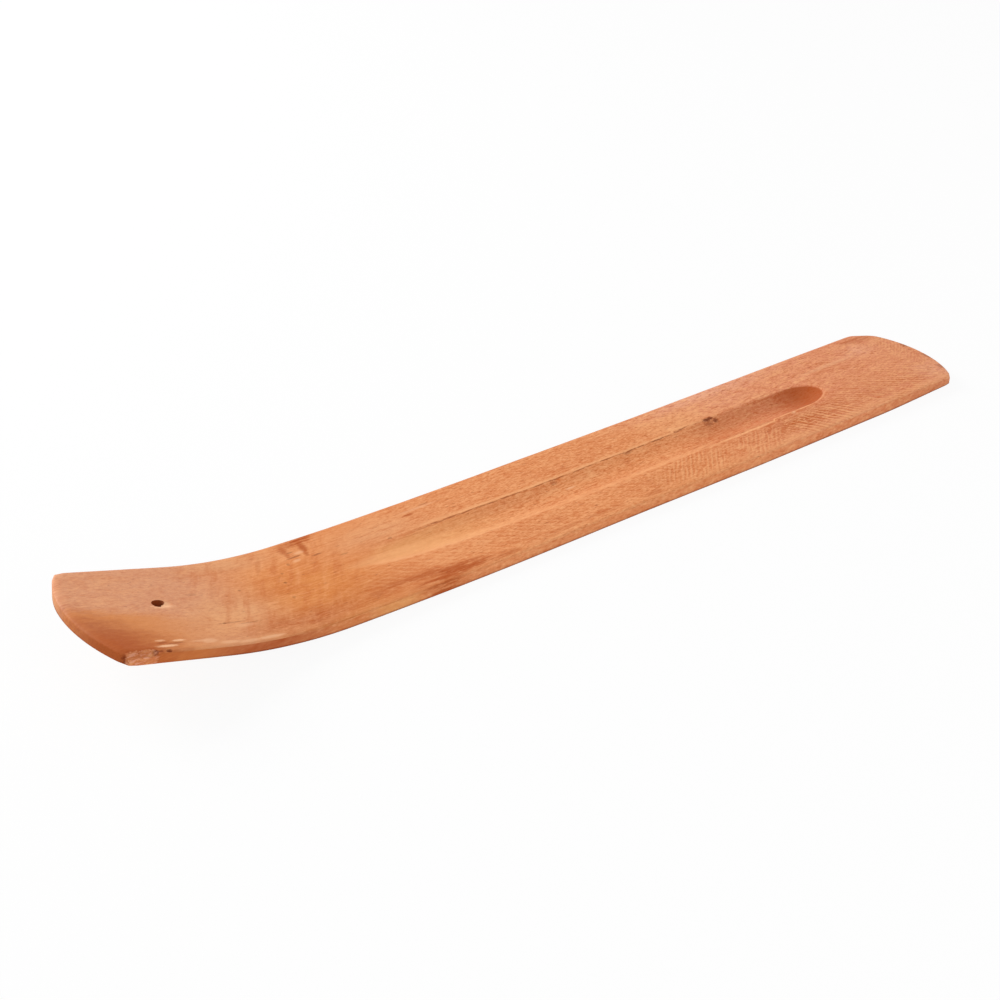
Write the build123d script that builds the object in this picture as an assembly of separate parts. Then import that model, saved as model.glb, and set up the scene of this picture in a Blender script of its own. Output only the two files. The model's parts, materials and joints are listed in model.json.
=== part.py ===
from build123d import *
import os
from math import acos, atan2, cos, degrees, radians, sin, sqrt

# Incense stick holder: one board of solid wood with a turned-up tip.
# The tail lies towards +X and the turned-up tip towards -X. The board rests on
# the flat part of its underside at Z = 0, and its origin is the middle of the
# bottom of its box. While it is drawn, X counts from the tail's two corners.

# The board, in millimetres and degrees
board_width = 38.0
run_length = 154.0              # flat underside, from the tail's corners
tail_thickness = 3.7            # at the tail's corners, before its top is sanded over
run_end_thickness = 3.15        # where the flat underside ends
tip_thickness = 2.8
easing_radius = 1500.0          # slow rise of the underside ahead of the bend
easing_angle = 2.3
bend_radius = 115.0             # the bend itself, on the underside
bend_angle = 16.0
tip_length = 25.0               # straight part after the bend, to the tip's -Y corner

# The sawn ends and the eased edges
tail_bow = 7.0                  # how far the round end stands out past its corners
tip_bow = 5.6
tip_skew = 2.0                  # the tip's corner on the +Y side stands out this much more
tail_far_corner_radius = 4.0    # the tail's corner on the +Y side is worn rounder
corner_radius = 0.9
edge_radius = 0.35
tail_relief_length = 10.0       # top of the tail sanded over, from its corners inwards
tail_relief_radius = 160.0

# The ash trough: a long shallow groove that drops into a deeper pocket
trough_offset = -1.0            # its centre line, across the board
groove_width = 10.8
groove_depth = 1.25             # where its ramp starts
groove_ramp_length = 50.0       # along which the groove rises to the surface
groove_reach_share = 0.78       # how far up the easing that ramp comes out
pocket_width = 11.5
pocket_depth = 2.2              # at the start of the pocket's round end
pocket_to_tail = 38.3           # from the tail's corners to the pocket's end
pocket_length = 50.0
pocket_end_length = 8.0         # its round end, along the board
pocket_slope_length = 13.0      # its slope up to the groove

# The stick hole, drilled square to the tip
hole_diameter = 3.0
hole_to_corner = 16.0           # from the tip's -Y corner, along the tip
hole_offset = 1.75              # its centre, across the board

saw_allowance = 2.0             # extra length of the blank at each end
cut_overrun = 10.0              # how far a cut runs out past the wood
cut_lift = 0.2                  # how far a rising cut climbs clear of the surface
wall_tilt_share = 0.5           # a face is a wall where Z has under this share in its normal

# Worked out from the sizes above
half_width = board_width / 2
taper = (tail_thickness - run_end_thickness) / run_length
taper_angle = degrees(atan2(taper, 1))
easing_run = easing_radius * sin(radians(easing_angle))
tip_angle = easing_angle + bend_angle
run_face = Plane((0, 0, tail_thickness), x_dir=(1, 0, taper), z_dir=(-taper, 0, 1))
along_tip = Vector(-cos(radians(tip_angle)), 0, sin(radians(tip_angle)))
square_to_tip = Vector(sin(radians(tip_angle)), 0, cos(radians(tip_angle)))
node_name = "holder_board"


def run_top(x):
    """Height of the top face over the flat part of the underside."""
    return tail_thickness + taper * x


def in_place(point):
    """Where a point of the flat-drawn side view lies on the board's middle line."""
    return Vector(point.X, 0, point.Y)


def scoop_radius(width, depth):
    """Radius of a round-bottomed cut that is so wide and so deep."""
    return (width ** 2 / 4 + depth ** 2) / (2 * depth)


def underside_curves():
    """The underside's line from tail to tip, in runs and arcs that meet smoothly."""
    run = Line((tail_bow + saw_allowance, 0), (-run_length, 0))
    easing = JernArc(run @ 1, run % 1, easing_radius, -easing_angle)
    bend = JernArc(easing @ 1, easing % 1, bend_radius, -bend_angle)
    blank_tip_length = tip_length + tip_skew + tip_bow + saw_allowance
    tip = Line(bend @ 1, bend @ 1 + (bend % 1) * blank_tip_length)
    return run, easing, bend, tip


def top_curves(underside):
    """The top face's line, which follows the underside while the board thins."""
    _, _, bend_below, tip_below = underside
    run = Line((-tail_relief_length, run_top(-tail_relief_length)), (-run_length, run_top(-run_length)))
    relief_reach = tail_relief_length + tail_bow + saw_allowance
    relief_angle = degrees(atan2(relief_reach, sqrt(tail_relief_radius ** 2 - relief_reach ** 2)))
    relief = JernArc(run @ 0, -(run % 0), tail_relief_radius, -relief_angle)
    easing_radius_on_top = easing_run / (sin(radians(easing_angle)) + sin(radians(taper_angle)))
    easing = JernArc(run @ 1, run % 1, easing_radius_on_top, -(easing_angle + taper_angle))
    # The next arc's radius is the one that leaves the tip its own thickness.
    thickness_ahead = in_place(easing @ 1 - bend_below @ 1).dot(square_to_tip)
    bend_radius_on_top = (thickness_ahead - tip_thickness) / (1 - cos(radians(bend_angle)))
    bend = JernArc(easing @ 1, easing % 1, bend_radius_on_top, -bend_angle)
    tip_end = in_place(tip_below @ 1) + square_to_tip * tip_thickness
    tip = Line(bend @ 1, (tip_end.X, tip_end.Z))
    return relief, run, easing, bend, tip


def sawn_blank(underside, top):
    """The board sawn to its side view, at its full width and too long at both ends."""
    outline = Curve() + [*underside, *top]
    outline += Line(underside[0] @ 0, top[0] @ 1)
    outline += Line(underside[-1] @ 1, top[-1] @ 1)
    side_view = Plane.XZ * make_face(outline)
    return extrude(side_view, half_width, both=True)


def end_waste(bow, skew, far_radius, near_radius):
    """What is sawn off a round end, drawn with X out of the board from its -Y corner."""
    near_corner = Vector(0, -half_width)
    far_corner = Vector(skew, half_width)
    inner_x = -(far_radius + near_radius)
    arc = ThreePointArc(near_corner, (skew / 2 + bow, 0), far_corner)
    inner_line = Polyline(far_corner, (inner_x, half_width), (inner_x, -half_width), near_corner)
    kept = make_face(arc + inner_line)
    kept = fillet(kept.vertices().sort_by_distance(near_corner)[0], near_radius)
    kept = fillet(kept.vertices().sort_by_distance(far_corner)[0], far_radius)
    sheet_length = skew + bow + cut_overrun - inner_x
    sheet_width = board_width + cut_overrun
    sheet = Pos(inner_x, 0) * Rectangle(sheet_length, sheet_width, align=(Align.MIN, Align.CENTER))
    return extrude(sheet - kept, cut_overrun, both=True)


def round_ended(blank, tip_corner):
    """The blank with both ends sawn round, square to the wood at each end."""
    tail_waste = end_waste(tail_bow, 0, tail_far_corner_radius, corner_radius)
    tip_plane = Plane(tip_corner, x_dir=along_tip, z_dir=-square_to_tip)
    tip_waste = tip_plane * end_waste(tip_bow, tip_skew, corner_radius, corner_radius)
    return blank - tail_waste - tip_waste


def eased_edges(board):
    """The board with the long edges of its top and underside rounded off."""
    walls = board.faces().filter_by(lambda face: abs(face.normal_at().Z) < wall_tilt_share)
    broad_faces = board.faces().filter_by(lambda face: abs(face.normal_at().Z) > wall_tilt_share)
    return fillet(walls.edges() & broad_faces.edges(), edge_radius)


def rising_end(start, direction, length, rise):
    """An arc that leaves a cut's floor and rises so far over that length, then out of the wood."""
    radius = (length ** 2 + rise ** 2) / (2 * rise)
    turn = degrees(acos(1 - (rise + cut_lift) / radius))
    return JernArc(start, direction, radius, turn if direction[0] < 0 else -turn)


def turned_cutter(floor_line, axis_height):
    """A round-bottomed cutter: its floor line, drawn at its radius, turned about its axis."""
    first, last = floor_line[0] @ 0, floor_line[-1] @ 1
    closing = Polyline(last, (last.X, 0), (first.X, 0), first)
    section = make_face(Curve() + [*floor_line, closing])
    return run_face * Pos(0, trough_offset, axis_height) * revolve(Plane.XZ * section, Axis.X)


def groove_cutter(top_easing):
    """The long shallow cut, which rises to the surface towards the tip."""
    radius = scoop_radius(groove_width, groove_depth)
    outlet = run_face.to_local_coords(in_place(top_easing @ groove_reach_share))
    ramp_x = outlet.X + groove_ramp_length
    inside_pocket_x = -(pocket_to_tail + pocket_length / 2)
    level = Line((inside_pocket_x, radius), (ramp_x, radius))
    ramp = rising_end(level @ 1, (-1, 0), groove_ramp_length, outlet.Z + groove_depth)
    return turned_cutter([level, ramp], radius - groove_depth)


def pocket_cutter():
    """The deeper cut, with a blunt end at the tail and a slope up to the groove."""
    radius = scoop_radius(pocket_width, pocket_depth)
    end_x = -(pocket_to_tail + pocket_end_length)
    slope_x = -(pocket_to_tail + pocket_length - pocket_slope_length)
    level = Line((end_x, radius), (slope_x, radius))
    blunt_end = rising_end(level @ 0, (1, 0), pocket_end_length, pocket_depth)
    slope = rising_end(level @ 1, (-1, 0), pocket_slope_length, pocket_depth)
    return turned_cutter([blunt_end.reversed(), level, slope], radius - pocket_depth)


def hole_cutter(hole_foot):
    """The drilled stick hole, right through the tip and square to it."""
    drill_plane = Plane(hole_foot, x_dir=along_tip, z_dir=square_to_tip)
    return drill_plane * Cylinder(hole_diameter / 2, 2 * cut_overrun)


underside = underside_curves()
top = top_curves(underside)
bend_below, top_easing = underside[2], top[2]
tip_corner = in_place(bend_below @ 1) + along_tip * tip_length
hole_foot = tip_corner - along_tip * hole_to_corner + Vector(0, hole_offset, 0)

board = eased_edges(round_ended(sawn_blank(underside, top), tip_corner))
board -= groove_cutter(top_easing)
board -= pocket_cutter()
board -= hole_cutter(hole_foot)

box = board.bounding_box()
to_origin = Vector(-box.center().X, 0, -box.min.Z)
board = Pos(to_origin) * board

os.makedirs("parts", exist_ok=True)
export_step(board, f"parts/{node_name}.step")

hole_middle = hole_foot + square_to_tip * (tip_thickness / 2) + to_origin
pocket_end = run_face.from_local_coords((-pocket_to_tail, trough_offset, 0)) + to_origin
print("size", board.bounding_box().size)
print("tail corners at X", to_origin.X)
print("stick hole middle", hole_middle, "axis", square_to_tip)
print("pocket end", pocket_end)
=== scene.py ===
import json
import math
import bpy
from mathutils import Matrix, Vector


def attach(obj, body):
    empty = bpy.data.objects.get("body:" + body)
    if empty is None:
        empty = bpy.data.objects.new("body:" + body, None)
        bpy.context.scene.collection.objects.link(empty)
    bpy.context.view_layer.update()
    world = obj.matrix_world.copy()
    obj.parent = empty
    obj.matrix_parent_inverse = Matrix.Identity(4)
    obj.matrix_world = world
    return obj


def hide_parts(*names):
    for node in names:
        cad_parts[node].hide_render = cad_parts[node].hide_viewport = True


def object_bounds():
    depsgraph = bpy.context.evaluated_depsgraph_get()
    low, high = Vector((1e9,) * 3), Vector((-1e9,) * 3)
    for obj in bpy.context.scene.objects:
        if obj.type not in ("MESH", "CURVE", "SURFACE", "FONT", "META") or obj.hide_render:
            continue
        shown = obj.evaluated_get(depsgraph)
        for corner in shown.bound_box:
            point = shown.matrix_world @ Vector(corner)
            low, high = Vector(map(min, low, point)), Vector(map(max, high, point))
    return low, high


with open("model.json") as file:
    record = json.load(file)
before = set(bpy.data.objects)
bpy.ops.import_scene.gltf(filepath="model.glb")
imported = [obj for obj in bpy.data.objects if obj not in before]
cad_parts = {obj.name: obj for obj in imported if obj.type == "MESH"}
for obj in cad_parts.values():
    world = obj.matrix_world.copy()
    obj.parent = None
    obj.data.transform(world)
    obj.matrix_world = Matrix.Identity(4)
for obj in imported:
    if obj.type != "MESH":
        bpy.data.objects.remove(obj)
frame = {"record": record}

from types import SimpleNamespace

import bmesh
import bpy
from bpy.props import FloatProperty, FloatVectorProperty, PointerProperty
from mathutils import Vector, noise

CAD_LOW, CAD_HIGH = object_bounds()
MM = 0.001
HALF_WIDTH = CAD_HIGH.y
STICK_HOLE = next(m for m in frame["record"]["mounts"] if m["name"] == "stick_hole")
HOLE_RADIUS = STICK_HOLE["dims"]["r_mm"] * MM
HOLE_SURROUND = 3 * HOLE_RADIUS

bl_info = {
    "name": "Incense stick holder",
    "version": (1, 0, 0),
    "blender": (4, 5, 0),
    "location": "3D View > Sidebar > Holder",
    "description": "Carves a one-board incense stick holder and sets it on a pale floor",
    "category": "Object",
}


# Kinds of value in the panel

def size(name, millimetres, description):
    """A length, kept in metres."""
    return FloatProperty(
        name=name, description=description, default=millimetres * MM, unit="LENGTH", precision=5
    )


def angle(name, degrees, description):
    """An angle, kept in radians."""
    return FloatProperty(
        name=name, description=description, default=math.radians(degrees), subtype="ANGLE"
    )


def share(name, value, description):
    """A part of one."""
    return FloatProperty(
        name=name, description=description, default=value, min=0, max=1, subtype="FACTOR"
    )


def number(name, value, description):
    """A plain number, such as a lamp's watts."""
    return FloatProperty(name=name, description=description, default=value, min=0)


def colour(name, red, green, blue, description):
    """A colour, written as it looks on a screen and kept as light."""
    linear = [((c / 255 + 0.055) / 1.055) ** 2.4 for c in (red, green, blue)]
    return FloatVectorProperty(
        name=name, description=description, default=linear, min=0, max=1, subtype="COLOR"
    )


class BoardSizes(bpy.types.PropertyGroup):
    """The board before it is carved. Distances along it count from the tail's corners."""

    run_length: size("Flat run", 154, "Flat part of the underside")
    easing_radius: size("Easing radius", 1500, "Slow rise of the underside ahead of the bend")
    easing_angle: angle("Easing angle", 2.3, "Lean of the board where the bend starts")
    bend_radius: size("Bend radius", 115, "The bend itself, on the underside")
    bend_angle: angle("Bend angle", 16, "How far the bend turns")
    tip_length: size("Tip", 25.2, "Straight part after the bend, to the tip's near corner")
    tail_thickness: size("Tail thickness", 3.7, "At the tail's corners")
    run_end_thickness: size("Run end thickness", 3.15, "Where the flat run ends")
    bend_thickness: size("Bend thickness", 3.04, "Where the bend starts")
    tip_thickness: size("Tip thickness", 2.8, "From the end of the bend to the tip")
    tail_bow: size("Tail bow", 7.0, "How far the tail's round end stands out past its corners")
    tip_bow: size("Tip bow", 5.3, "How far the tip's round end stands out past its corners")
    tip_skew: size("Tip skew", 1.6, "How much further out the tip's far corner stands")
    corner_radius: size("Corners", 0.9, "Rounding of the near corners, seen from above")
    tip_corner_radius: size("Tip corner", 0.45, "Rounding of the tip's far corner")
    far_corner_radius: size("Worn corner", 5.0, "Rounding of the tail's far corner")
    edge_radius: size("Edges", 0.4, "Rounding of the long edges")
    relief_length: size("Tail relief", 10, "Top of the tail sanded over, from its corners")
    relief_radius: size("Tail relief radius", 160, "Roundness of that sanding")
    tail_lift: size("Tail lift", 1.1, "Rise of the underside at the tail's end")
    tip_undercut: size("Tip undercut", 0.5, "How far the tip's end leans in under itself")
    long_edge_drop: size("Long edge wear", 0.2, "How far the top is rubbed down at its long edges")
    tip_edge_drop: size("Tip edge wear", 0.55, "How far the top is rubbed down at the tip's end")
    facet_start: size("Facet start", 265, "Where the torn facet of the tip's near edge starts")
    facet_width: size("Facet width", 1.7, "Width of that facet on the top")
    facet_depth: size("Facet depth", 0.8, "How far that facet drops at the edge")
    waviness: size("Waviness", 0.07, "Unevenness left by hand sanding")
    cell: size("Cell", 0.56, "Spacing of the mesh")


class TroughSizes(bpy.types.PropertyGroup):
    """The ash trough: a long groove that drops into a deeper pocket."""

    offset: size("Off centre", -1.0, "Centre line, across the board")
    groove_depth: size("Groove depth", 1.35, "Depth of the groove where it is level")
    ramp_start: size("Ramp start", 128, "Where the groove starts to rise")
    ramp_end: size("Ramp end", 203, "Where the groove comes out")
    groove_nose: size("Groove nose", 80, "Length over which the groove narrows to its end")
    near_half: size("Near half", 6.1, "From the centre line to the groove's near rim")
    far_half: size("Far half", 5.7, "From the centre line to the groove's far rim")
    far_drift: size("Far drift", 0.9, "How far that rim drifts out towards the tip")
    drift_end: size("Drift end", 190, "Where that drift ends")
    pocket_offset: size("Pocket off centre", -0.35, "The pocket's own centre line")
    pocket_half: size("Pocket half", 5.75, "From that line to the pocket's rims")
    pocket_depth: size("Pocket depth", 2.2, "Depth of the deeper pocket")
    pocket_start: size("Pocket start", 37.9, "The pocket's round end")
    pocket_round: size("Pocket round end", 9, "Length over which that end drops to full depth")
    pocket_nose: size("Pocket nose", 12, "Length over which that end reaches full width")
    slope_start: size("Slope start", 73, "Where the pocket starts to rise to the groove")
    slope_end: size("Slope end", 89, "Where the pocket meets the groove")
    near_softness: size("Near rim", 0.3, "How far the near rim is worn down")
    far_softness: size("Far rim", 0.05, "How far the far rim is worn down")
    rim_wander: size("Rim wander", 0.22, "How far the rims wander off a straight line")


class WoodLook(bpy.types.PropertyGroup):
    """Colours of the wood, some of them also used for painted light and shade."""

    heart: colour("Heartwood", 228, 146, 92, "Main colour")
    # The tip colour is partly its wood and partly painted sheen, the pale reflection on its tilted
    # top.
    tip: colour("Tip", 220, 155, 118, "Handled wood of the tip")
    bend: colour("Bend", 219, 136, 70, "Warmer wood of the bend")
    tail: colour("Tail", 227, 145, 108, "Redder wood of the tail")
    late: colour("Late wood", 196, 98, 44, "Darker wood of the growth rings and grain")
    # Also used for painted shade in pits and along the bottom edge of the sides.
    pore_and_shade: colour("Pores", 112, 40, 8, "Pores and torn fibres")
    red: colour("Red stain", 172, 74, 16, "Stained wood")
    side: colour("Sawn side", 224, 143, 94, "Long sides")
    end_grain: colour("End grain", 212, 146, 100, "Sawn end of the tip")
    sap: colour("Sapwood", 238, 176, 108, "Paler wood that the groove cuts open")
    # Also used for painted highlights on the trough's rims and near wall.
    wear_and_highlight: colour("Worn edge", 246, 180, 126, "Edges rubbed pale")
    fresh: colour("Torn wood", 246, 190, 146, "Freshly torn wood")
    pale: colour("Pale wood", 230, 168, 120, "Tan patches of the bend")
    rosy: colour("Rosy wood", 238, 172, 144, "Pink patches of the tail")
    # Also used for painted shade over the far half of the groove.
    umber_and_shade: colour("Umber stain", 160, 72, 40, "Stained corner of the tip")
    # Painted shade for the stick hole's wall.
    painted_hole_shade: colour("Soot", 124, 50, 8, "Soot in the stick hole")


class StageLook(bpy.types.PropertyGroup):
    """Camera and light."""

    azimuth: angle("Azimuth", -36.01, "Camera's bearing round the board")
    elevation: angle("Elevation", 31.6, "Camera's height above the floor, as an angle")
    distance: size("Distance", 403.6, "From the camera to the point it looks at")
    target_x: size("Target X", -17.22, "The point it looks at")
    target_y: size("Target Y", 8.68, "The point it looks at")
    lens: number("Lens", 53.665, "Focal length in millimetres on a 36 mm sensor")
    key_power: number("Key lamp", 12.0, "Watts of the soft lamp behind on the left")
    fill_power: number("Fill lamp", 5.0, "Watts of the soft lamp in front on the right")
    ambient: share("Ambient", 0.4, "Light from all round")
    floor: colour("Floor", 243, 243, 243, "Pale floor")
    floor_glow: share("Floor glow", 0.93, "How far the floor shows as plain white")


def plain(group):
    """A group's values, copied out because reading them from Blender for each vertex is slow."""
    return SimpleNamespace(**{name: getattr(group, name) for name in type(group).__annotations__})


# Handwork that the panel leaves alone
LIFT_REACH = 32 * MM      # from the tail's corners to where its underside is flat
UNDERCUT_REACH = 4 * MM   # how far in from the tip's end its lean starts
RUB_REACH = 1.8 * MM      # how far in from an edge the top is rubbed down
RELIEF_SHARE = 0.64       # of the tail's sanding, at the middle of the board
RELIEF_LEAN = 0.36        # how much more of it the near edge has
SIDE_BLEND = 2 * MM       # from the trough's centre line to where a side has its own width
LEAST_SAG = 0.3 * MM      # least roundness of the trough's floor
SLOPE_RISE = 1.3 * MM     # rise of the pocket's slope up to the groove
SLOPE_OVERRUN = 4 * MM    # how far the pocket's cut runs on past its slope
GROOVE_NOSE_LIMIT = 0.98  # how far a nose narrows, so that some width is left
POCKET_NOSE_LIMIT = 0.995
NICK_REACH = 1.6          # how far a chip spreads, in its half sizes
NICK_RAGGEDNESS = 0.35
SPLINTER_WAY = Vector((-0.8, -0.6))  # where a splinter stands into the stick hole
SPLINTER_SHARE = 0.55     # of the hole's radius
CHIP_WAY = Vector((-0.87, 0.49))  # where the hole's rim is chipped off
CHIP_SHARE = 0.35

# Tests on the mesh
TOP_SHARE = 0.999         # a vertex is on the top from this share of the thickness
WALL_TILT = 0.5           # a face is a wall where its normal's Z is under this
SHARP_ANGLE = math.radians(40)

# Chips and pits: place along, place across, half length, half width and depth in millimetres
NICKS = (
    (79.4, 5.1, 1.6, 0.7, 0.4),  # chip in the far rim where the pocket starts
    (77, 4.4, 1, 0.7, 0.3),
    (253.7, 1, 1.6, 1.1, 0.4),  # tear-out beside the stick hole
    (265.1, -18.4, 0.9, 0.7, 0.5),  # pits in the tip's near edge
    (263.9, -18.2, 0.5, 0.4, 0.3),
    (262, -18.5, 0.8, 0.6, 0.45),
    (268, -18.9, 3, 0.6, 0.25),
    (55.5, -6.8, 0.9, 0.5, 0.25),  # chip in the pocket's near rim
    (135.9, 4.3, 1.6, 0.6, 0.25),  # torn fibres along the groove's far rim
    (110.4, 4.3, 1.4, 0.6, 0.2),
    (26, 8, 12, 1, -0.1),  # low ridge left past the pocket's end
)

# How far each long edge swells past the plain board, by place along it, in millimetres
NEAR_SWELL = ((0, 0), (40, 0.25), (82, 0.55), (125, 0.1), (230, 0.05), (252, 0.25), (290, 0.3))
FAR_SWELL = ((0, 0.75), (48, 0.5), (100, 0.1), (160, 0.4), (200, 0.15), (225, 0.5), (290, 0.65))


# The board

def graded(place, stops):
    """A value read off straight lines between a few stops."""
    if place <= stops[0][0]:
        return stops[0][1]
    for (start, low), (end, high) in zip(stops, stops[1:]):
        if place <= end:
            return low + (high - low) * (place - start) / (end - start)
    return stops[-1][1]


def eased(place, start, end):
    """Rises smoothly from 0 at start to 1 at end."""
    part = min(max((place - start) / (end - start), 0), 1)
    return part * part * (3 - 2 * part)


def rough(along, y, grain, seed):
    """Unevenness between -1 and 1, with a given size of grain in millimetres."""
    return noise.noise(Vector((along / (grain * MM), y / (grain * MM), seed)))


def stretches(board):
    """Length and radius of each stretch of the underside, from the tail's corners to the tip's."""
    return (
        (board.run_length, math.inf),
        (board.easing_radius * board.easing_angle, board.easing_radius),
        (board.bend_radius * board.bend_angle, board.bend_radius),
        (board.tip_length, math.inf),
    )


def board_length(board):
    """Along the underside, from the tail's corners to the tip's near corner."""
    return sum(length for length, _ in stretches(board))


def underside(board, along):
    """X, Z and lean of the underside at a distance from the tail's corners."""
    x, z, lean = CAD_HIGH.x - board.tail_bow, 0.0, 0.0
    parts = stretches(board)
    for index, (length, radius) in enumerate(parts):
        step = along if index == len(parts) - 1 else min(along, length)
        turn = step / radius
        x -= step * math.cos(lean + turn / 2)
        z += step * math.sin(lean + turn / 2)
        lean += turn
        along -= step
    return x, z, lean


def thickness(board, along):
    """Thickness of the board at a distance from the tail's corners."""
    run, easing, bend, _ = (length for length, _ in stretches(board))
    return graded(along, (
        (0, board.tail_thickness),
        (run, board.run_end_thickness),
        (run + easing, board.bend_thickness),
        (run + easing + bend, board.tip_thickness),
    ))


def bow_out(y, bow):
    """How far a round end stands out past its corners, across the board."""
    radius = (HALF_WIDTH ** 2 + bow ** 2) / (2 * bow)
    return math.sqrt(radius ** 2 - y ** 2) - (radius - bow)


def tip_reach(board, y):
    """Where the tip's round end lies, from the tail's corners."""
    end = board_length(board) + bow_out(y, board.tip_bow)
    return end + board.tip_skew * (y + HALF_WIDTH) / (2 * HALF_WIDTH)


def grid_line(step, steps, length, end_cell):
    """Distance of a grid line from the first one, with a wider cell at both ends."""
    if step in (0, steps):
        return length * step / steps
    return end_cell + (length - 2 * end_cell) * (step - 1) / (steps - 2)


def rounded_off(across, along, radius):
    """Moves a point near a corner, given by its distances from two sides, into a round corner."""
    if across >= radius or along >= radius:
        return across, along
    a, b = 1 - across / radius, 1 - along / radius
    return (
        radius * (1 - a * math.sqrt(1 - b * b / 2)),
        radius * (1 - b * math.sqrt(1 - a * a / 2)),
    )


def flat_blank(bm, board):
    """A flat sheet with the board's outline: X along it from the tail's corners, Y across it."""
    end_cell = 4 * board.cell
    cells_along = round((board_length(board) + board.tail_bow + board.tip_bow) / board.cell)
    cells_across = round(2 * HALF_WIDTH / board.cell)
    bmesh.ops.create_grid(bm, x_segments=cells_along, y_segments=cells_across, size=0.5)
    for vert in bm.verts:
        column = round((vert.co.x + 0.5) * cells_along)
        row = round((vert.co.y + 0.5) * cells_across)
        y = grid_line(row, cells_across, 2 * HALF_WIDTH, end_cell) - HALF_WIDTH
        tail_end = -bow_out(y, board.tail_bow)
        tip_end = tip_reach(board, y)
        along = grid_line(column, cells_along, tip_end - tail_end, end_cell)
        back = tip_end - tail_end - along
        at_tail = along < back
        radius = board.corner_radius
        if y > 0:
            radius = board.far_corner_radius if at_tail else board.tip_corner_radius
        side, end = rounded_off(HALF_WIDTH - abs(y), min(along, back), radius)
        x = tail_end + end if at_tail else tip_end - end
        y = math.copysign(HALF_WIDTH - side, y)
        vert.co = (x, y, 0)
    bmesh.ops.inset_region(
        bm, faces=bm.faces[:], use_boundary=True, use_even_offset=True, thickness=2 * board.cell
    )


def hole_place(board):
    """Where the stick hole lies on the flat sheet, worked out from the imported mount."""
    start = sum(length for length, _ in stretches(board)[:-1])
    x, z, lean = underside(board, start)
    hole_x, hole_y, hole_z = STICK_HOLE["pos_m"]
    ahead = (x - hole_x) * math.cos(lean) + (hole_z - z) * math.sin(lean)
    return Vector((start + ahead, hole_y, 0))


def drill(bm, board):
    """Opens the stick hole in the flat sheet and makes it round."""
    middle = hole_place(board)
    inside = [f for f in bm.faces if (f.calc_center_median() - middle).length < HOLE_RADIUS]
    bmesh.ops.delete(bm, geom=inside, context="FACES")
    around = [v for v in bm.verts if (v.co - middle).length < HOLE_SURROUND]
    rim = [v for v in around if v.is_boundary]
    for vert in rim:
        vert.co = middle + (vert.co - middle).normalized() * HOLE_RADIUS
    loose = [v for v in around if not v.is_boundary]
    rounds_of_smoothing = 6
    for _ in range(rounds_of_smoothing):
        bmesh.ops.smooth_vert(
            bm, verts=loose, factor=0.5, use_axis_x=True, use_axis_y=True, use_axis_z=True
        )


def thicken(bm, board):
    """Gives the sheet the tail's thickness, and rounds the edges of both broad faces."""
    depth = board.tail_thickness
    made = bmesh.ops.extrude_face_region(bm, geom=bm.faces[:], use_keep_orig=True)
    raised = [g for g in made["geom"] if isinstance(g, bmesh.types.BMVert)]
    bmesh.ops.translate(bm, vec=(0, 0, depth), verts=raised)
    bmesh.ops.recalc_face_normals(bm, faces=bm.faces[:])
    uprights = [e for e in bm.edges if abs(e.verts[0].co.z - e.verts[1].co.z) > depth / 2]
    bmesh.ops.subdivide_edges(bm, edges=uprights, cuts=3, use_grid_fill=True)
    middle = hole_place(board)
    walls = [f for f in bm.faces if abs(f.normal.z) < WALL_TILT]
    rims = []
    for edge in dict.fromkeys(e for f in walls for e in f.edges):
        upright_faces = sum(abs(f.normal.z) < WALL_TILT for f in edge.link_faces)
        at_hole = (edge.verts[0].co.xy - middle.xy).length < HOLE_SURROUND
        if upright_faces == 1 and not at_hole:
            rims.append(edge)
    bmesh.ops.bevel(
        bm, geom=rims, offset=board.edge_radius, offset_type="OFFSET", affect="EDGES",
        segments=3, profile=0.5, material=-1, clamp_overlap=True, loop_slide=True,
    )


def soft_floor(value, softness):
    """The larger of value and zero, with the corner between them rounded."""
    return (value + math.sqrt(value * value + softness * softness)) / 2


def scoop(depth, across, half):
    """Depth of a round-bottomed cut off its centre line, below zero where it misses the wood."""
    return depth - max(depth, LEAST_SAG) * (across / half) ** 2


def trough_cut(trough, along, y):
    """Depth of the ash trough's cut under the top face, below zero beside it."""
    wander = trough.rim_wander * rough(along, y, grain=7, seed=3.1)
    cut = -trough.pocket_depth
    if along > (trough.pocket_start + trough.slope_end) / 2:
        ramp = max((along - trough.ramp_start) / (trough.ramp_end - trough.ramp_start), 0)
        nose = min(max(1 - (trough.ramp_end - along) / trough.groove_nose, 0), GROOVE_NOSE_LIMIT)
        across = y - trough.offset + wander
        near_half = trough.near_half * math.sqrt(1 - nose ** 2)
        drift = trough.far_drift * eased(along, trough.ramp_start, trough.drift_end)
        far_half = trough.far_half + drift
        half = near_half + (far_half - near_half) * eased(across, -SIDE_BLEND, SIDE_BLEND)
        cut = scoop(trough.groove_depth * (1 - ramp ** 2), across, half)
    if along < trough.slope_end + SLOPE_OVERRUN:
        short = max(1 - (along - trough.pocket_start) / trough.pocket_round, 0)
        slope = max(along - trough.slope_start, 0) / (trough.slope_end - trough.slope_start)
        depth = trough.pocket_depth * (1 - short ** 2) - SLOPE_RISE * slope ** 2
        nose = max(1 - (along - trough.pocket_start) / trough.pocket_nose, 0)
        nose = min(nose, POCKET_NOSE_LIMIT)
        half = trough.pocket_half * math.sqrt(1 - nose ** 2)
        cut = max(cut, scoop(depth, y - trough.pocket_offset + wander, half))
    return max(cut, -trough.pocket_depth)


def trough_depth(trough, cut, y):
    """How far the top face is lowered there, with the rims worn round."""
    far = eased(y - trough.offset, -SIDE_BLEND, SIDE_BLEND)
    softness = trough.near_softness + (trough.far_softness - trough.near_softness) * far
    return soft_floor(cut, softness) - soft_floor(-trough.pocket_depth, softness)


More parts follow.
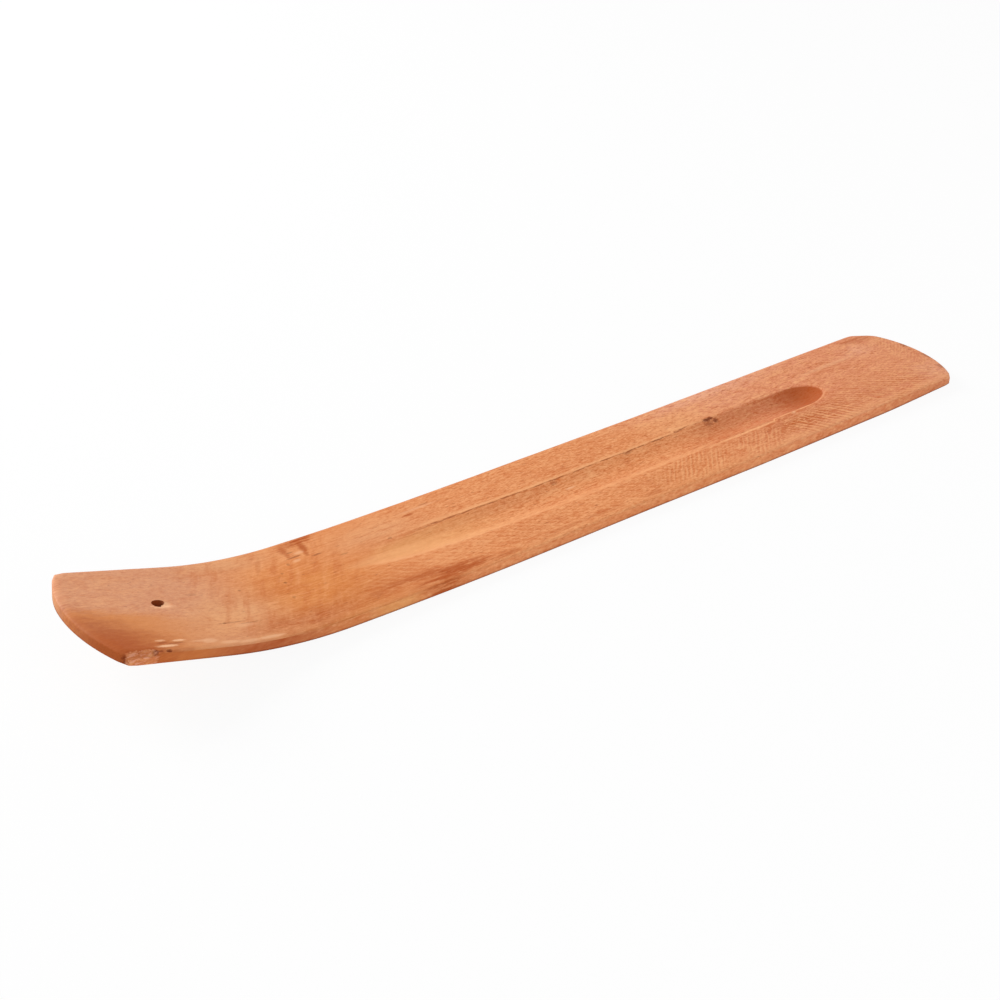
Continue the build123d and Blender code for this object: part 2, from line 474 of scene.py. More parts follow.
def nick_depth(along, y):
    """Depth of the small chips and pits at a place on the top face."""
    total = 0.0
    for place, across, length, width, depth in NICKS:
        far_off = math.hypot((along / MM - place) / length, (y / MM - across) / width)
        if far_off < NICK_REACH:
            ragged = far_off + NICK_RAGGEDNESS * rough(along, y, grain=0.9, seed=place)
            total += depth * MM * (1 - eased(ragged, 0.35, 1.15))
    return total


def rubbed_down(board, side, tip):
    """How far hands have rubbed the top down, so far from a long edge and from the tip's end."""
    at_side = max(1 - side / RUB_REACH, 0)
    at_tip = max(1 - tip / RUB_REACH, 0)
    return board.long_edge_drop * at_side ** 2 + board.tip_edge_drop * at_tip ** 2


def facet_drop(board, along, y):
    """How far the torn facet lowers the top along the tip's near edge."""
    across_facet = max(1 - (HALF_WIDTH + y) / board.facet_width, 0)
    return board.facet_depth * across_facet * eased(along - board.facet_start, -MM, MM)


def torn_rim(spot, middle):
    """Where a point of the stick hole's rim lies once a splinter stands in and a chip is gone."""
    off = spot - middle.xy
    if off.length > 1.05 * HOLE_RADIUS:
        return spot
    way = off.normalized()
    splinter = max(way.dot(SPLINTER_WAY), 0) ** 4
    chip = max(way.dot(CHIP_WAY), 0) ** 4
    return middle.xy + off * (1 - SPLINTER_SHARE * splinter + CHIP_SHARE * chip)


def carve(bm, board, trough):
    """Cuts the trough, sands the tail over and wears the wood, while the board is still flat."""
    depth = board.tail_thickness
    place_layer = bm.verts.layers.float_vector.new("board_place")
    cut_layer = bm.verts.layers.float.new("trough_cut")
    tip_layer = bm.verts.layers.float.new("tip_gap")
    hole = hole_place(board)
    for vert in bm.verts:
        along, y, height = vert.co
        top = height / depth
        across = y / HALF_WIDTH
        side, tip = HALF_WIDTH - abs(y), tip_reach(board, y) - along
        cut = trough_cut(trough, along, y) if top > TOP_SHARE else -trough.pocket_depth
        waves = rough(along, y, grain=26, seed=0.7) + 0.3 * rough(along, y, grain=7, seed=5.2)
        lowered = board.waviness * waves
        if along < board.relief_length:
            relief = (board.relief_length - along) ** 2 / (2 * board.relief_radius)
            lowered += relief * (RELIEF_SHARE - RELIEF_LEAN * across)
        if top > TOP_SHARE:
            lowered += trough_depth(trough, cut, y) + nick_depth(along, y)
            vert.co.xy = torn_rim(vert.co.xy, hole)
        lowered += rubbed_down(board, side, tip) + facet_drop(board, along, y)
        lift = board.tail_lift * (1 - eased(along, -board.tail_bow, LIFT_REACH))
        swell = graded(along / MM, NEAR_SWELL if y < 0 else FAR_SWELL) * MM
        vert.co.z = lift + top * (thickness(board, along) - lowered - lift)
        undercut = board.tip_undercut * (1 - top) * max(1 - tip / UNDERCUT_REACH, 0)
        vert.co.x -= undercut * eased(across, 0.3, 0.9)
        vert.co.y += swell * across
        vert[place_layer] = (along / MM, y / MM, top)
        vert[cut_layer] = cut / MM
        vert[tip_layer] = tip / MM


def bend(bm, board):
    """Bends the flat board to its side view."""
    for vert in bm.verts:
        along, y, height = vert.co
        x, z, lean = underside(board, along)
        vert.co = (x + height * math.sin(lean), y, z + height * math.cos(lean))


def solid_object(bm, name, material):
    """Makes the finished mesh an object at the origin."""
    bmesh.ops.recalc_face_normals(bm, faces=bm.faces[:])
    mesh = bpy.data.meshes.new(name)
    bm.to_mesh(mesh)
    bm.free()
    mesh.shade_smooth()
    mesh.set_sharp_from_angle(angle=SHARP_ANGLE)
    mesh.materials.append(material)
    made = bpy.data.objects.new(name, mesh)
    bpy.context.scene.collection.objects.link(made)
    return made


# Materials

class Field:
    """A value that changes over a surface. Sums on it add Math nodes."""

    def __init__(self, bench, socket):
        self.bench, self.socket = bench, socket

    def __add__(self, other):
        return self.bench.maths("ADD", self, other)

    __radd__ = __add__

    def __sub__(self, other):
        return self.bench.maths("SUBTRACT", self, other)

    def __rsub__(self, other):
        return self.bench.maths("SUBTRACT", other, self)

    def __mul__(self, other):
        return self.bench.maths("MULTIPLY", self, other)

    __rmul__ = __mul__

    def __pow__(self, other):
        return self.bench.maths("POWER", self, other)

    def __rpow__(self, other):
        return self.bench.maths("POWER", other, self)


class Bench:
    """Builds the nodes of one material or world."""

    def __init__(self, item):
        item.use_nodes = True
        self.tree = item.node_tree
        self.tree.nodes.clear()

    def node(self, kind, settings=None, sockets=None, output=0):
        """A node with its settings made and its sockets set or linked, as one of its outputs."""
        made = self.tree.nodes.new(kind)
        for name, value in (settings or {}).items():
            setattr(made, name, value)
        for name, value in (sockets or {}).items():
            if isinstance(value, Field):
                self.tree.links.new(value.socket, made.inputs[name])
            else:
                made.inputs[name].default_value = value
        return Field(self, made.outputs[output]) if made.outputs else None

    def maths(self, operation, *values):
        """A Math node on one or two values."""
        return self.node("ShaderNodeMath", {"operation": operation}, dict(enumerate(values)))

    def parts(self, vector):
        """The X, Y and Z of a vector."""
        first = self.node("ShaderNodeSeparateXYZ", {}, {0: vector})
        return [Field(self, output) for output in first.socket.node.outputs]

    def stretched(self, vector, scale):
        """A vector with each of its parts scaled."""
        return self.node("ShaderNodeVectorMath", {"operation": "MULTIPLY"}, {0: vector, 1: scale})

    def joined(self, x, y):
        """A flat vector made of two values."""
        return self.node("ShaderNodeCombineXYZ", {}, {0: x, 1: y})

    def cloud(self, vector, scale, detail=2.0, roughness=0.5):
        """Smooth noise from about 0 to 1, so many lumps to a millimetre each way."""
        return self.node("ShaderNodeTexNoise", {}, {
            "Vector": self.stretched(vector, scale), "Scale": 1.0, "Detail": detail,
            "Roughness": roughness,
        })

    def dot(self, first, second):
        """The dot product of two vectors."""
        return self.node(
            "ShaderNodeVectorMath", {"operation": "DOT_PRODUCT"}, {0: first, 1: second}, output=1
        )

    def step(self, value, start, end, height=1.0):
        """Rises smoothly from 0 at start to its height at end, or falls if start is higher."""
        low, high = (0.0, height) if start < end else (height, 0.0)
        return self.node("ShaderNodeMapRange", {"interpolation_type": "SMOOTHSTEP"}, {
            "Value": value, "From Min": min(start, end), "From Max": max(start, end),
            "To Min": low, "To Max": high,
        })

    def band(self, value, start, full, fade, end):
        """1 from full to fade, falling to 0 at start and at end."""
        return self.step(value, start, full) * self.step(value, end, fade)

    def spot(self, place, along, across, length, width):
        """A soft round mark on the board, 1 in its middle."""
        off = self.node("ShaderNodeVectorMath", {"operation": "MULTIPLY_ADD"}, {
            0: place, 1: (1 / length, 1 / width, 0), 2: (-along / length, -across / width, 0),
        })
        return math.exp(-1) ** self.dot(off, off)

    def turned(self, vector, degrees):
        """How far a point lies along a direction across the board, and how far to its side."""
        lean = math.radians(degrees)
        run = self.dot(vector, (math.cos(lean), math.sin(lean), 0))
        row = self.dot(vector, (-math.sin(lean), math.cos(lean), 0))
        return run, row


# Marks on the wood, each as place along, place across, half length and half width in
# millimetres, and strength. Broad patches of another tone have their colour first
PATCHES = (
    ("pale", 191, 9.5, 14, 5.5, 0.7),  # beside the start of the groove
    ("pale", 229, 15.5, 13, 4, 0.85),  # far edge of the bend
    ("pale", 239, -6, 10, 7, 0.95),  # where the bend ends
    ("wear_and_highlight", 243, -11, 7, 5, 0.5),
    ("wear_and_highlight", 88, 10, 9, 6, 0.5),  # over the start of the pocket
    ("rosy", 70, 17, 26, 3.5, 0.95),  # far edge beside the pocket
    ("rosy", 68, 10, 12, 4, 0.4),
    ("rosy", 0, -13, 8, 6, 0.7),  # end of the tail
    ("rosy", 10, 10, 7, 3.5, 0.75),
    ("red", 56, -11, 15, 4.5, 0.75),  # between the pocket and the near edge
    ("red", 28, -12, 13, 4.5, 0.35),
    ("red", 10, -12.5, 6, 4, 0.3),
    ("red", 112, -13, 9, 3.5, 0.25),  # near side of the groove
    ("red", 154, -13, 9, 3.5, 0.25),
    ("red", 183, -17, 9, 3, 0.35),  # near edge beside the groove's end
    ("red", 201, -13, 13, 5, 0.45),  # near edge of the bend
    ("red", 225, -15.5, 15, 5, 1),
    ("red", 265, -14, 7, 3.5, 0.42),  # beside the tip's near corner
)

# Stains
STAINS = (
    (210, 17.6, 5.5, 2, 1),  # along the far edge, at the knots
    (197, -12.8, 6, 1.5, 0.35),  # slanting down to the near edge
    (190, -13.6, 6, 1.8, 0.55),
    (183, -14.9, 6, 2, 0.75),
    (176.5, -16, 5.5, 1.9, 0.75),
    (169.5, -17.2, 6, 1.3, 0.5),
    (187.5, -17.6, 8, 2.4, 0.8),  # over the near edge
    (205, -14, 2, 1.6, 0.4),
    (150, -16.2, 8, 1.2, 0.3),
    (135, -16, 7, 1.2, 0.3),
    (118, -16.5, 5, 1.2, 0.3),
    (178.8, 12.2, 2.2, 0.7, 0.8),  # torn grain over the groove
    (4, 15.5, 8, 2.2, 0.45),  # tail's worn corner
)

# Knots, which run across the grain
KNOTS = (
    (209.3, 14.4, 1.3, 3, 0.75),
    (209.9, 11.2, 0.8, 1.6, 0.5),
    (214.4, 15.2, 1.4, 2.6, 0.65),
    (214.5, 12.4, 0.8, 1.4, 0.5),
    (211.8, 16.2, 2.4, 1.6, 0.4),
)

# Dull smears, which lean across the grain
SMEARS = (
    (223.3, 11.7, 0.9, 3.4, 0.22),
    (238.9, 5.7, 1.2, 4.2, 0.1),
    (232.7, 13.7, 1, 1.4, 0.14),
    (244.2, 12, 1.4, 1.2, 0.14),
    (213.7, -10.2, 1.2, 3.2, 0.14),
    (220.3, -13.2, 1.6, 2.6, 0.14),
)

# Dark specks
SPECKS = (
    (221, 2.1, 0.5, 0.4, 0.5),
    (219.7, 6.1, 0.4, 0.4, 0.3),
    (222.3, -4.5, 0.5, 0.5, 0.3),
    (233, 3.5, 0.4, 0.3, 0.35),
    (243.9, -9.4, 0.5, 0.3, 0.4),
    (79, 5.2, 1.9, 0.6, 0.85),  # chip where the pocket starts
    (76.8, 4.1, 0.9, 0.8, 0.7),
    (79.6, 3.9, 1.6, 1, 0.35),
    (265.1, -18, 0.8, 0.6, 0.9),  # pits in the tip's near edge, darkened with painted shade
    (263.9, -18.2, 0.5, 0.4, 0.6),
    (262, -18.3, 0.7, 0.5, 0.8),
    (262.3, -15.1, 1.2, 0.3, 0.35),  # under the chips there
    (259.2, -15.6, 2.2, 0.3, 0.4),
    (272.9, -18.4, 1.3, 1.2, 1),  # dark spot of painted shade on the tip's end
    (213.3, 11.1, 2, 0.35, 0.5),  # torn grain between the knots
    (213.3, 13.4, 0.9, 0.35, 0.4),
    (216.3, 8.9, 0.5, 0.6, 0.35),
    (208, 9.2, 1.5, 0.35, 0.45),
    (245.3, 4.6, 1.4, 0.6, 0.2),
    (242, -9.4, 3.6, 0.35, 0.25),  # dark grain where the bend ends
    (237.5, -10.5, 3, 0.3, 0.2),
    (188.6, 5.6, 0.7, 0.5, 0.3),
    (202.2, 5.7, 1.2, 0.4, 0.25),
    (172.5, 14.6, 1.6, 0.35, 0.3),
    (137, 3.6, 1.2, 0.8, 0.3),
    (110.4, 4, 1.6, 0.5, 0.35),
    (98.5, 4.5, 2, 0.4, 0.35),
    (-5.9, 4.8, 0.9, 1.8, 0.4),  # edge of the tail's end
    (-5.9, -4, 0.8, 2.2, 0.35),
    (-3.6, -12, 0.8, 2, 0.35),
)

# Pale torn chips
CHIPS = (
    (262.3, -14.1, 1.3, 0.4, 0.7),  # torn edge of the tip
    (258, -14.6, 1.6, 0.4, 0.95),
    (261.6, -16.5, 2.6, 0.5, 0.95),
    (253.5, -15.6, 2.4, 0.4, 0.4),
    (257.1, 0.7, 0.6, 0.4, 0.6),  # rim of the stick hole
    (256.3, 0, 0.8, 0.4, 0.7),
    (255.2, -0.2, 0.8, 0.4, 0.8),
    (253.3, 1.6, 0.9, 0.7, 0.8),
    (251, -16, 2, 1, 0.5),  # worn edge of the bend
    (246.6, -17.3, 2.5, 0.7, 0.5),
    (241.8, -17.8, 3, 0.6, 0.5),
    (235.9, -17.7, 3.5, 0.6, 0.6),
    (239.3, -11.2, 2.5, 0.8, 0.35),
    (213.6, 9.4, 1.2, 0.6, 0.5),  # under the knots
    (211.4, 12.3, 1.4, 0.6, 0.5),
    (175, 13.8, 6, 0.5, 0.35),
    (134.2, 0, 1.6, 0.4, 0.6),
    (55.5, -6.4, 0.7, 0.4, 0.7),
    (26, 8.3, 11, 0.9, 0.32),  # ridge past the pocket's end
)

# Sanding scratches, each as direction in degrees, spacing in millimetres, strength,
# and the place along, place across, half length and half width of its patch
SCRATCHES = (
    (-58, 1.6, 1.1, 50, -14.5, 15, 6),
    (-38, 1.3, 0.95, 18, -12, 22, 10),
    (-36, 1.2, 0.5, 14, 3, 22, 12),
    (48, 1.2, 0.6, 76, -13, 10, 6),
    (50, 1.2, 0.7, 100, -12.5, 14, 6),
    (41, 1.05, 0.45, -2.5, 3, 5, 12),
    (-36, 1.6, 0.4, 150, -9, 60, 9),
    (-30, 1.4, 0.3, 110, 11, 60, 6),
)

# Clouds in the wood: lumps to a millimetre along and across the grain, detail and roughness
CLOUDS = {
    "fibre": (0.05, 1.3, 4, 0.65),
    "grit": (1.1, 2.2, 2, 0.6),
    "dash": (0.4, 2.4, 2, 0.6),
    "clump": (0.5, 0.95, 2, 0.6),
    "mottle": (0.16, 0.42, 3, 0.6),
    "hair": (0.04, 2.4, 3, 0.7),
    "streak": (0.1, 0.8, 3, 0.65),
    "blotch": (0.03, 0.1, 3, 0.6),
    "vein": (0.02, 0.16, 3, 0.55),
    "stain": (0.1, 0.36, 4, 0.7),
}
GROWTH_LEAN = 62  # degrees by which the growth layers lean across the bend


def light(tint):
    """A panel colour as a shader colour."""
    return (*tint, 1)


class Wood:
    """Sanded open-grained wood, rubbed pale at its edges and stained where it is handled."""

    def __init__(self, bench, look):
        self.bench, self.look = bench, look
        metres = bench.node("ShaderNodeTexCoord", output=3)
        self.point = bench.stretched(metres, (1 / MM, 1 / MM, 1 / MM))
        self.place = bench.node("ShaderNodeAttribute", {"attribute_name": "board_place"}, output=1)
        self.along, self.across, self.level = bench.parts(self.place)
        self.cut, self.tip_gap = (
            bench.node("ShaderNodeAttribute", {"attribute_name": name}, output=2)
            for name in ("trough_cut", "tip_gap")
        )
        normal = bench.node("ShaderNodeNewGeometry", output=1)
        self.normal_x, self.normal_y, self.normal_z = bench.parts(normal)
        self.upright = bench.step(self.normal_z, 0.8, 0.4)
        self.fibre, self.grit, self.dash, self.clump, self.mottle = (
            self.cloud(name) for name in ("fibre", "grit", "dash", "clump", "mottle")
        )
        self.streak = bench.step(self.cloud("streak"), 0.36, 0.64)
        self.uneven = 0.4 + 1.2 * self.mottle
        self.busy = 0.32 + 0.68 * bench.step(self.along, 205, 150)
        self.on_tip = bench.step(self.along, 236, 252)
        self.on_bend = bench.band(self.along, 188, 208, 238, 252)
        self.tone = light(look.heart)
        self.relief = self.fibre * 0.4

    def cloud(self, name):
        """One of the wood's clouds."""
        lengthwise, crosswise, detail, roughness = CLOUDS[name]
        return self.bench.cloud(self.point, (lengthwise, crosswise, crosswise), detail, roughness)

    def tint(self, factor, name):
        """Lays one of the wood's colours over what there is so far."""
        over = light(getattr(self.look, name))
        self.tone = self.bench.node(
            "ShaderNodeMix", {"data_type": "RGBA"}, {0: factor, 6: self.tone, 7: over}, output=2
        )

    def vary(self, value, strength, spread=0.26, middle=0.5):
        """Darkens the wood where a value is over its middle and lightens it where it is under."""
        step = self.bench.step
        self.tint(step(value, middle, middle + spread) * strength, "late")
        self.tint(step(value, middle, middle - spread) * strength, "wear_and_highlight")

    def marks(self, table, ragged, tint, lean=0.0, full=0.75):
        """Lays ragged marks on the wood, from a table of places, half sizes and strengths."""
        bench, slanted = self.bench, self.place
        if lean:
            slanted = bench.joined(self.along + lean * self.across, self.across)
        raggedness = 0.15 + 1.7 * ragged
        for place, off, length, width, strength in table:
            mark = bench.spot(slanted, place + lean * off, off, length, width) * raggedness
            self.tint(bench.step(mark, 0.15, full, strength), tint)

    def body(self):
        """Tones of the tail, the bend and the tip, and broad patches."""
        step = self.bench.step
        self.tint(step(self.along, 110, 40), "tail")
        warm = step(self.along, 185, 215) * (0.4 + 0.6 * step(self.across, 15, -3))
        self.tint(warm, "bend")
        # The tip's tone is partly its wood and partly painted sheen.
        self.tint(step(self.along, 222, 247), "tip")
        for tint, place, off, length, width, strength in PATCHES:
            patch = self.bench.spot(self.place, place, off, length, width)
            self.tint(patch * self.uneven * strength, tint)
        self.vary(self.cloud("blotch"), 0.35, spread=0.3)

    def growth(self):
        """Growth layers, which show as smears across the bend and faint veins along the tip."""
        bench = self.bench
        run, row = bench.turned(self.point, GROWTH_LEAN)
        smear = bench.cloud(bench.joined(run, row), (0.07, 0.38, 1), 3.0, 0.6)
        self.tint(bench.step(smear, 0.5, 0.72, 0.45) * self.on_bend, "late")
        self.tint(bench.step(smear, 0.5, 0.25, 0.28) * self.on_bend, "wear_and_highlight")
        vein = bench.maths("ABSOLUTE", self.cloud("vein") - 0.5)
        veined = bench.step(vein, 0.025, 0.004) * bench.step(self.along, 150, 215)
        self.tint(veined * 0.14, "late")

    def grain(self):
        """Fibres, pores and the grit of a coarse sanding."""
        smooth = self.bench.step(self.along, 190, 212)
        self.vary(self.fibre, 0.5 - 0.28 * smooth + 0.12 * self.on_tip, spread=0.3, middle=0.49)
        self.vary(self.cloud("hair"), 0.12 + 0.2 * smooth, spread=0.22)
        self.vary(self.mottle, 0.45 * self.busy, spread=0.28)
        self.vary(self.clump, 0.5 * self.busy)
        self.vary(self.grit, 0.75 * self.busy)
        self.vary(self.dash, 0.5 * self.busy)
        pores = self.bench.step(self.dash, 0.66, 0.76)
        self.tint(pores * 0.4, "pore_and_shade")
        self.relief = self.relief + self.grit * 0.5 - pores * 0.6

    def scratches(self):
        """Sanding marks across the grain, in patches."""
        bench = self.bench
        uneven = 0.3 + 1.2 * self.mottle
        on_top = bench.step(self.cut, 0.2, -0.1) * (1 - self.upright)
        for degrees, spacing, strength, place, off, length, width in SCRATCHES:
            run, row = bench.turned(self.point, degrees)
            broken = bench.cloud(bench.joined(run, row), (0.2, 0.8, 1))
            wave = bench.maths("SINE", row * (2 * math.pi / spacing) + 10 * broken)
            patch = bench.spot(self.place, place, off, length, width) * uneven
            patch = bench.step(patch, 0.1, 0.6) * bench.step(broken, 0.34, 0.58, strength) * on_top
            self.tint(bench.step(wave, 0, 1, 0.6) * patch, "wear_and_highlight")
            self.tint(bench.step(wave, 0, -1, 0.4) * patch, "late")
            self.relief = self.relief + wave * patch * 0.35

    def trough_marks(self):
        """A torn line and a painted highlight on the lip at the far rim, painted highlights on the
        near wall and rim, painted shade in the far half of the groove, and a reddened pocket.
        """
        step, band, along, cut = self.bench.step, self.bench.band, self.along, self.cut
        far = step(self.across, 0, 2)
        near = 1 - far
        lengthwise = band(along, 76, 90, 174, 185)
        broken = step(self.dash, 0.4, 0.58)
        line = band(cut, -0.03, 0.04, 0.1, 0.22)
        self.tint(line * far * lengthwise * (0.15 + 0.85 * broken) * 0.52, "pore_and_shade")
        # Painted highlight on the lip outside the far rim.
        lip = band(cut, -0.6, -0.15, -0.06, 0.02)
        self.tint(lip * far * lengthwise * (0.3 + 0.5 * broken), "wear_and_highlight")

        inside = step(cut, 0.05, 0.4)
        self.tint(inside * step(along, 150, 185) * (0.22 + 0.25 * self.mottle), "sap")
        # Painted shade over the far half of the groove.
        self.tint(inside * far * band(along, 130, 160, 188, 200) * 0.13, "umber_and_shade")
        in_pocket = step(along, 98, 74)
        self.tint(inside * in_pocket * 0.24, "red")
        self.tint(inside * step(along, 62, 44) * 0.76, "red")

        # Painted highlight on the groove's near wall.
        wall = band(cut, -0.2, 0.15, 0.5, 1.1) * near
        self.tint(wall * step(along, 84, 100) * 0.35, "wear_and_highlight")
        # Painted highlight on the near rim where the groove comes out.
        ridge = band(cut, -0.12, 0.0, 0.1, 0.3) * near
        self.tint(ridge * band(along, 150, 170, 192, 201) * 0.38, "wear_and_highlight")
        # Painted glints along the pocket's near rim.
        rim = band(cut, -0.3, -0.08, 0.16, 0.34) * near
        sparkle = band(along, 43, 52, 76, 100) * step(self.grit, 0.36, 0.56)
        self.tint(rim * sparkle * 0.9, "wear_and_highlight")
        outside = band(cut, -0.9, -0.5, -0.35, -0.2) * near
        self.tint(outside * in_pocket * 0.25, "late")

    def stains(self):
        """The handled corner of the tip, then stains, specks and chips."""
        step, along, across = self.bench.step, self.along, self.across
        ragged = self.cloud("stain")
        rubbed_to = 2.5 - 0.24 * (277 - along)
        handled = step(rubbed_to - across + 8 * (ragged - 0.5), -2, 4)
        self.tint(handled * step(along, 238, 268) * 0.75, "bend")
        past_corner = self.bench.maths("MAXIMUM", across + 8, 0.0)
        corner = self.tip_gap + past_corner + 12 * (ragged - 0.5) + 3 * (self.streak - 0.5)
        corner = step(corner, 19, 2)
        self.tint(corner * (0.35 + 0.45 * self.clump), "umber_and_shade")
        self.tint(corner * step(across, -5, -13, 0.5), "red")
        self.marks(STAINS, 0.5 * (self.clump + self.streak), "red", full=1.05)
        self.marks(KNOTS, 0.5 * (self.clump + ragged), "red", lean=0.1, full=1.05)
        self.marks(SMEARS, self.clump, "red", lean=0.52)
        # Some specks are painted shade in pits and on the tip's end.
        self.marks(SPECKS, self.grit, "pore_and_shade")
        self.marks(CHIPS, self.grit, "fresh")

    def sides(self):
        """Sawn sides and ends, and edges rubbed pale."""
        step, along = self.bench.step, self.along
        near = self.upright * step(self.normal_y, -0.3, -0.7)
        self.tint(self.upright * 0.5, "side")
        self.vary(self.clump, 0.5 * self.upright)
        self.tint(near * self.bench.band(along, 192, 200, 204, 212) * 0.4, "sap")
        self.tint(near * step(along, 218, 238, 0.65) * self.uneven, "red")
        handled = step(along, 212, 232, 0.25) + step(along, 252, 264, 0.3)
        handled = handled + step(along, 40, 8, 0.2)
        self.tint(near * handled * self.uneven, "umber_and_shade")
        tip_end = self.upright * step(self.normal_x, -0.35, -0.75)
        self.tint(tip_end * 0.85, "end_grain")
        self.tint(tip_end * step(self.across, -4, -11, 0.5), "umber_and_shade")
        # Painted shade along the bottom edge of the sides.
        under = self.upright * step(self.normal_z, -0.95, -0.6)
        self.tint(under * step(self.level, 0.3, 0.05) * 0.7, "pore_and_shade")
        self.tint(step(self.across, 18.3, 18.9) * 0.3, "pore_and_shade")

        wear_and_highlight = 0.15 + step(along, 88, 62, 0.2) + step(along, 226, 238, 0.12)
        rubbed = step(self.across, -15.6, -17.4) * (1 - self.upright)
        rubbed = rubbed * step(self.clump, 0.3, 0.6) * step(self.tip_gap, 9, 14)
        self.tint(rubbed * wear_and_highlight, "wear_and_highlight")

    def facet(self):
        """The torn facet at the tip's near corner."""
        step = self.bench.step
        ragged = self.clump + self.grit - 1
        torn = step(self.along + 2.5 * ragged, 264.4, 265.6)
        torn = torn * step(self.across + 2 * ragged, -17.1, -17.7)
        torn = torn * step(self.along, 272.1, 271.7)
        self.tint(torn * 0.5, "side")
        self.vary(self.clump, 0.5 * torn)
        self.tint(torn * step(self.dash, 0.48, 0.62) * 0.55, "rosy")
        self.relief = self.relief + torn * self.grit * 2.0

    def stick_hole(self, middle):
        """Painted shade in the hole, and paler torn wood beside it."""
        along, across = middle.x / MM, middle.y / MM
        u, v = self.along - along, self.across - across
        radius, rim = (u * u + v * v) ** 0.5, HOLE_RADIUS / MM
        torn = self.bench.spot(self.place, along - 1.5, across - 1.1, 1.2, 0.9)
        self.tint(torn * (0.6 + 0.8 * self.grit), "fresh")
        # Painted shade on the hole's wall, less where the wood beside it is torn.
        self.tint(self.bench.step(radius, 1.08 * rim, rim) * (0.9 - 0.8 * torn), "painted_hole_shade")

    def shader(self):
        """The finished surface."""
        bump = self.bench.node(
            "ShaderNodeBump", {}, {"Strength": 0.8, "Distance": 0.12 * MM, "Height": self.relief}
        )
        roughness = 0.5 + 0.2 * self.fibre + 0.12 * self.upright
        return self.bench.node("ShaderNodeBsdfPrincipled", {}, {
            "Base Color": self.tone, "Roughness": roughness, "Normal": bump,
            "Specular IOR Level": 0.12,
        })


def sanded_wood(look, board):
    """The board's material."""
    material = bpy.data.materials.new("sanded_wood")
    bench = Bench(material)
    wood = Wood(bench, look)
    wood.body()
    wood.growth()
    wood.grain()
    wood.scratches()
    wood.trough_marks()
    wood.sides()
    wood.stains()
    wood.facet()
    wood.stick_hole(hole_place(board))
    bench.node("ShaderNodeOutputMaterial", {}, {"Surface": wood.shader()})
    return material


def seen_directly(bench):
    """1 for light that goes straight to the camera, or by way of a reflection or glass."""
    seen = 0.0
    for name in ("Is Camera Ray", "Is Glossy Ray", "Is Transmission Ray"):
        seen = bench.maths("MAXIMUM", bench.node("ShaderNodeLightPath", output=name), seen)
    return seen


def pale_floor(look):
    """A matt floor that shows nearly white and keeps the shadow."""
    material = bpy.data.materials.new("pale_floor")
    bench = Bench(material)
    matt = bench.node("ShaderNodeBsdfDiffuse", {}, {"Color": light(look.floor)})
    glow = bench.node("ShaderNodeEmission", {}, {"Strength": 1.0})
    factor = seen_directly(bench) * look.floor_glow
    mixed = bench.node("ShaderNodeMixShader", {}, {0: factor, 1: matt, 2: glow})
    bench.node("ShaderNodeOutputMaterial", {}, {"Surface": mixed})
    return material


def studio(look):
    """Even white light from all round, plain white where it is seen."""
    world = bpy.data.worlds.new("studio")
    bench = Bench(world)
    strength = look.ambient + (1 - look.ambient) * seen_directly(bench)
    sky = bench.node("ShaderNodeBackground", {}, {"Color": (1, 1, 1, 1), "Strength": strength})
    bench.node("ShaderNodeOutputWorld", {}, {"Surface": sky})
    return world


# The stage, in metres
KEY_LAMP = (-0.5, 0.85, 0.6), 0.6  # place and side
FILL_LAMP = (0.1, -1.0, 0.45), 0.9
FLOOR_SIZE = 3
NEAREST_SIGHT = 0.01
SENSOR_WIDTH = 36  # millimetres


# Operators

class HOLDER_OT_board(bpy.types.Operator):
    """Carve the board that is the whole holder"""

    bl_idname = "holder.board"
    bl_label = "Carve board"

    def execute(self, context):
        scene = context.scene
        sizes = plain(scene.holder_board)
        bm = bmesh.new()
        flat_blank(bm, sizes)
        drill(bm, sizes)
        thicken(bm, sizes)
        carve(bm, sizes, plain(scene.holder_trough))
        bend(bm, sizes)
        board = solid_object(bm, "carved_board", sanded_wood(scene.holder_wood, sizes))
        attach(board, "root")
        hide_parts("holder_board")
        return {"FINISHED"}


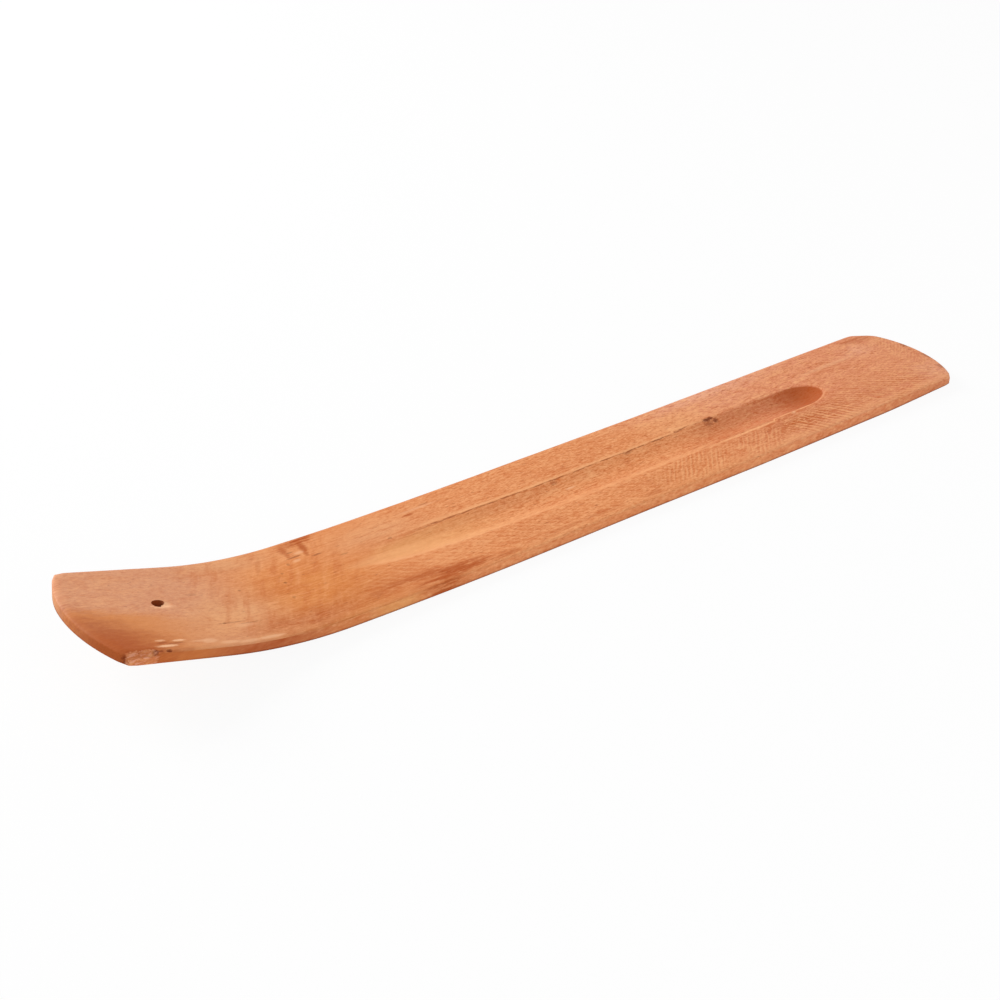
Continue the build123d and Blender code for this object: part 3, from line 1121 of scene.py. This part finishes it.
class HOLDER_OT_stage(bpy.types.Operator):
    """Set the floor, the lamps and the camera"""

    bl_idname = "holder.stage"
    bl_label = "Set stage"

    def execute(self, context):
        scene = context.scene
        look = scene.holder_stage
        scene.view_settings.view_transform = "Standard"
        scene.world = studio(look)

        bm = bmesh.new()
        bmesh.ops.create_grid(bm, x_segments=1, y_segments=1, size=FLOOR_SIZE)
        floor = solid_object(bm, "floor", pale_floor(look))

        self.lamp("key", *KEY_LAMP, look.key_power)
        self.lamp("fill", *FILL_LAMP, look.fill_power)

        back = Vector((
            math.sin(look.azimuth) * math.cos(look.elevation),
            -math.cos(look.azimuth) * math.cos(look.elevation),
            math.sin(look.elevation),
        ))
        lens = bpy.data.cameras.new("camera")
        lens.lens = look.lens
        lens.sensor_width = SENSOR_WIDTH
        lens.sensor_fit = "HORIZONTAL"
        lens.clip_start = NEAREST_SIGHT
        camera = bpy.data.objects.new("camera", lens)
        camera.location = Vector((look.target_x, look.target_y, 0)) + back * look.distance
        camera.rotation_euler = back.to_track_quat("Z", "Y").to_euler()
        scene.collection.objects.link(camera)
        scene.camera = camera
        return {"FINISHED"}

    def lamp(self, name, place, side, power):
        """A square soft lamp that faces the middle of the board."""
        data = bpy.data.lights.new(name, "AREA")
        data.shape = "SQUARE"
        data.size = side
        data.energy = power
        lamp = bpy.data.objects.new(name, data)
        lamp.location = place
        lamp.rotation_euler = Vector(place).to_track_quat("Z", "Y").to_euler()
        bpy.context.scene.collection.objects.link(lamp)


class HOLDER_PT_panel(bpy.types.Panel):
    """Everything that makes the holder"""

    bl_idname = "HOLDER_PT_panel"
    bl_label = "Incense stick holder"
    bl_space_type = "VIEW_3D"
    bl_region_type = "UI"
    bl_category = "Holder"

    def draw(self, context):
        for step in OPERATORS:
            self.layout.operator(step.bl_idname)


OPERATORS = (HOLDER_OT_board, HOLDER_OT_stage)
GROUPS = {
    "holder_board": BoardSizes,
    "holder_trough": TroughSizes,
    "holder_wood": WoodLook,
    "holder_stage": StageLook,
}
CLASSES = (*GROUPS.values(), *OPERATORS, HOLDER_PT_panel)


def register():
    for item in CLASSES:
        bpy.utils.register_class(item)
    for name, group in GROUPS.items():
        setattr(bpy.types.Scene, name, PointerProperty(type=group))


def unregister():
    for name in GROUPS:
        delattr(bpy.types.Scene, name)
    for item in reversed(CLASSES):
        bpy.utils.unregister_class(item)


def main():
    register()
    bpy.ops.holder.board()
    bpy.ops.holder.stage()


if __name__ == "__main__":
    main()
